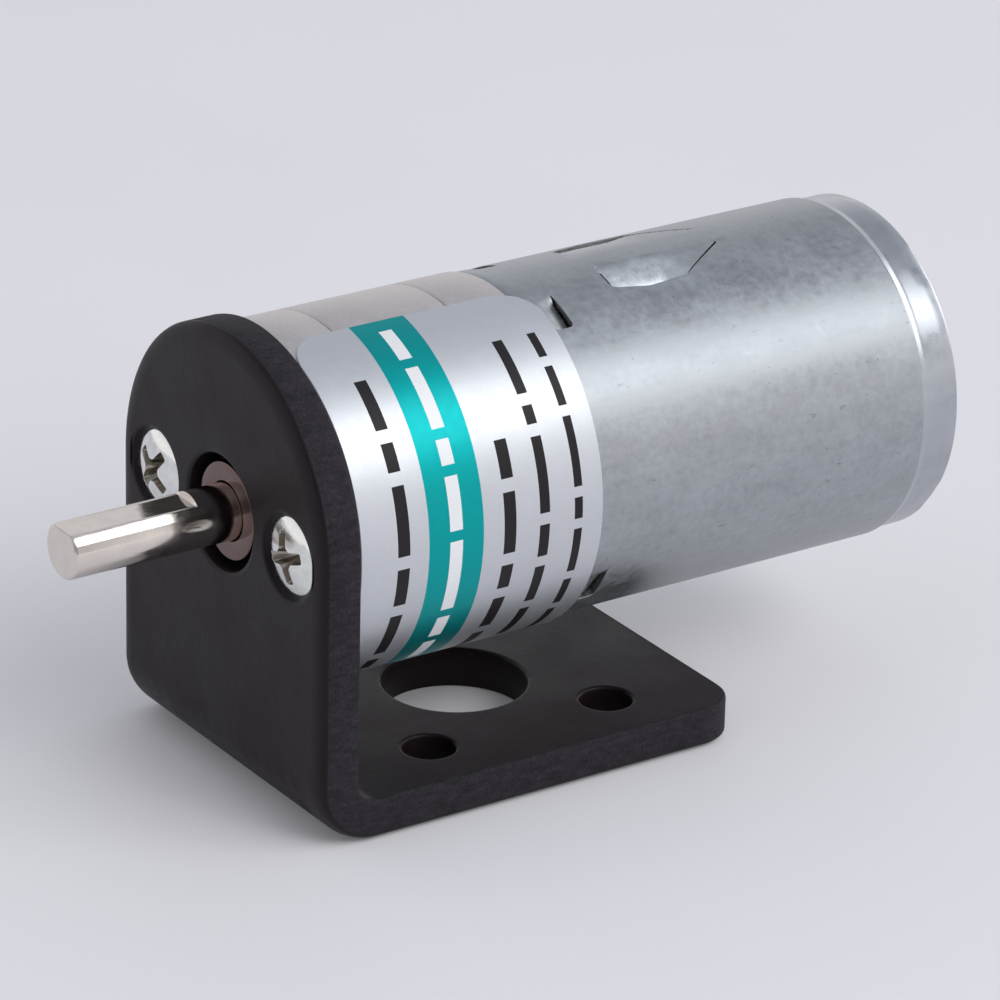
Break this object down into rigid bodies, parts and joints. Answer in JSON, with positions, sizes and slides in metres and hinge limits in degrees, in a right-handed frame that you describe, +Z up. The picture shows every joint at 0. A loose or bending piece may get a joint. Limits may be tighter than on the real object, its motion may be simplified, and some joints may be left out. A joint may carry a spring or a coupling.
{
  "type": "geared dc motor",
  "caption": "Small round geared DC motor on a black steel angle bracket, with a D-shaped output shaft, spur gear train, brushed motor and two rear terminals.",
  "frame": {"origin": "bottom centre of the bounding box, on the plane that the bracket's foot stands on", "axes": "+Z up, -Y along the output shaft away from the motor, +X to the right seen from the shaft's end"},
  "size_m": [0.026, 0.0678, 0.033],
  "materials": {
    "black_coat": "fine-grained black coating, satin",
    "case_nickel": "satin nickel plate",
    "can_zinc": "zinc plate, mottled satin",
    "screw_chrome": "bright plate",
    "shaft_steel": "ground and polished",
    "bush_bronze": "sintered bronze",
    "gear_steel": "cut steel",
    "gear_brass": "turned brass",
    "spring_steel": "rolled spring steel",
    "ferrite": "fired ferrite",
    "lamination": "stacked steel sheet",
    "copper": "bare and enamelled copper",
    "carbon": "pressed carbon",
    "insulator": "moulded insulator",
    "cap_plastic": "moulded, fine texture",
    "terminal_tin": "tin plate",
    "label_film": "printed silver film"
  },
  "bodies": {
    "frame": {"mounting_bracket": "black_coat", "gearbox_front_plate": "case_nickel", "gearbox_ring": "case_nickel", "gearbox_rear_plate": "case_nickel", "motor_can": "can_zinc", "bracket_screw_left": "screw_chrome", "bracket_screw_right": "screw_chrome", "case_screw_1": "screw_chrome", "case_screw_2": "screw_chrome", "case_screw_3": "screw_chrome", "motor_screw_left": "screw_chrome", "motor_screw_right": "screw_chrome", "output_bush": "bush_bronze", "motor_front_bush": "bush_bronze", "motor_rear_bush": "bush_bronze", "first_arbor": "gear_steel", "second_arbor": "gear_steel", "first_arbor_front_spacer": "gear_brass", "first_arbor_rear_spacer": "gear_brass", "second_arbor_front_spacer": "gear_brass", "second_arbor_rear_spacer": "gear_brass", "magnet_spring_clip": "spring_steel", "magnet_left": "ferrite", "magnet_right": "ferrite", "brush_arm_upper": "copper", "brush_arm_lower": "copper", "brush_upper": "carbon", "brush_lower": "carbon", "motor_end_cap": "cap_plastic", "terminal_upper": "terminal_tin", "terminal_lower": "terminal_tin", "rating_label": "label_film"},
    "rotor": {"rotor_shaft": "shaft_steel", "motor_pinion": "gear_brass", "rotor_core": "lamination", "coil_1": "copper", "coil_2": "copper", "coil_3": "copper", "commutator_hub": "insulator", "commutator_bar_1": "copper", "commutator_bar_2": "copper", "commutator_bar_3": "copper", "varistor_ring": "insulator", "rotor_front_washer": "insulator", "rotor_rear_washer": "insulator"},
    "first_cluster": {"first_pinion": "gear_steel", "first_wheel": "gear_brass"},
    "second_cluster": {"second_pinion": "gear_steel", "second_wheel": "gear_brass"},
    "output": {"output_shaft": "shaft_steel", "output_gear": "gear_steel", "output_thrust_washer": "gear_brass", "output_retaining_clip": "spring_steel"}
  },
  "joints": [
    {"name": "rotor_spin", "type": "hinge", "parent": "frame", "child": "rotor", "pos_m": [0, -0.0217, 0.02], "axis": [0, 1, 0], "continuous": true},
    {"name": "first_cluster_spin", "type": "hinge", "parent": "frame", "child": "first_cluster", "pos_m": [0.003, -0.0217, 0.0252], "axis": [0, 1, 0], "continuous": true},
    {"name": "second_cluster_spin", "type": "hinge", "parent": "frame", "child": "second_cluster", "pos_m": [-0.003, -0.0217, 0.0252], "axis": [0, 1, 0], "continuous": true},
    {"name": "output_spin", "type": "hinge", "parent": "frame", "child": "output", "pos_m": [0, -0.0217, 0.02], "axis": [0, 1, 0], "continuous": true}
  ],
  "couplings": [
    {"joint": "first_cluster_spin", "follows": "rotor_spin", "ratio": -0.42857},
    {"joint": "second_cluster_spin", "follows": "rotor_spin", "ratio": 0.18367},
    {"joint": "output_spin", "follows": "rotor_spin", "ratio": -0.078717}
  ]
}
